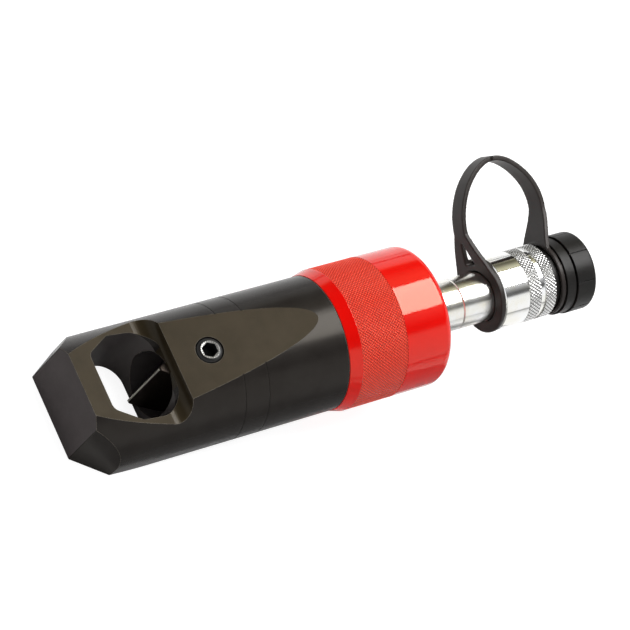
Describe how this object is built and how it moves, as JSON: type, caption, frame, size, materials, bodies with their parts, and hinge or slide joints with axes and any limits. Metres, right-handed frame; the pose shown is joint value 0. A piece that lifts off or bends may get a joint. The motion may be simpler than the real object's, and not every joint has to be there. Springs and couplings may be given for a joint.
{
  "type": "hydraulic nut splitter",
  "caption": "Angled-head hydraulic nut splitter: nut window with sliding chisel, ram cylinder, knurled base collar, screw coupler half and tethered dust cap.",
  "frame": {"origin": "middle of the nut window on the flange face", "axes": "+Z along the nut's axis away from the flange face, -X towards the nose, the cylinder axis rises 14 degrees towards +X, y = 0 is the head's plane of symmetry"},
  "size_m": [0.275, 0.0909, 0.0935],
  "materials": {
    "blackened_steel": "satin black oxide",
    "tool_steel": "dark hardened, ground edge",
    "screw_steel": "black oxide",
    "seal_rubber": "matt",
    "plain_steel": "turned",
    "hard_chrome": "ground and hard chromed",
    "wear_plastic": "filled nylon",
    "spring_steel": "drawn",
    "red_paint": "gloss enamel",
    "plated_steel": "zinc plated",
    "plated_sleeve": "bright plated",
    "black_rubber": "moulded"
  },
  "bodies": {
    "splitter": {"splitter_head": "blackened_steel", "guide_screw": "screw_steel", "rod_wiper": "seal_rubber", "spring_seat": "plain_steel", "return_spring": "spring_steel", "cylinder_base": "red_paint", "base_seal": "seal_rubber", "base_lock_screw": "screw_steel", "port_adapter": "plated_steel", "coupler_body": "plated_steel", "sleeve_retainer": "spring_steel", "coupler_face_seal": "seal_rubber", "poppet_guide": "plain_steel", "poppet_spring": "spring_steel"},
    "chisel": {"chisel": "tool_steel"},
    "ram": {"ram": "hard_chrome", "ram_tee_bolt": "screw_steel", "piston_wear_ring": "wear_plastic", "piston_seal": "seal_rubber", "piston_backup_ring": "wear_plastic"},
    "sleeve": {"coupler_sleeve": "plated_sleeve"},
    "poppet": {"coupler_poppet": "plain_steel", "poppet_seal": "seal_rubber"},
    "strap": {"dust_strap": "black_rubber"},
    "cap": {"dust_cap": "black_rubber"}
  },
  "joints": [
    {"name": "ram_stroke", "type": "slide", "parent": "splitter", "child": "ram", "axis": [-0.9703, 0, -0.2419], "range_m": [0, 0.013], "stiffness_N_per_m": 3000, "springref_m": -0.008, "deforming": ["return_spring"]},
    {"name": "chisel_slide", "type": "slide", "parent": "splitter", "child": "chisel", "axis": [-1, 0, 0], "range_m": [0, 0.0134]},
    {"name": "sleeve_spin", "type": "hinge", "parent": "splitter", "child": "sleeve", "pos_m": [0.20787, 0, 0.05856], "axis": [0.9703, 0, 0.2419], "continuous": true},
    {"name": "poppet_travel", "type": "slide", "parent": "splitter", "child": "poppet", "axis": [-0.9703, 0, -0.2419], "range_m": [0, 0.0035], "stiffness_N_per_m": 800, "springref_m": -0.003, "deforming": ["poppet_spring"]},
    {"name": "strap_swivel", "type": "hinge", "parent": "splitter", "child": "strap", "pos_m": [0.1937, 0, 0.05503], "axis": [0.9703, 0, 0.2419], "continuous": true},
    {"name": "cap_pull", "type": "slide", "parent": "strap", "child": "cap", "axis": [0.9703, 0, 0.2419], "range_m": [0, 0.012], "deforming": ["dust_strap"]}
  ],
  "couplings": [
    {"joint": "chisel_slide", "follows": "ram_stroke", "ratio": 1.0306}
  ]
}
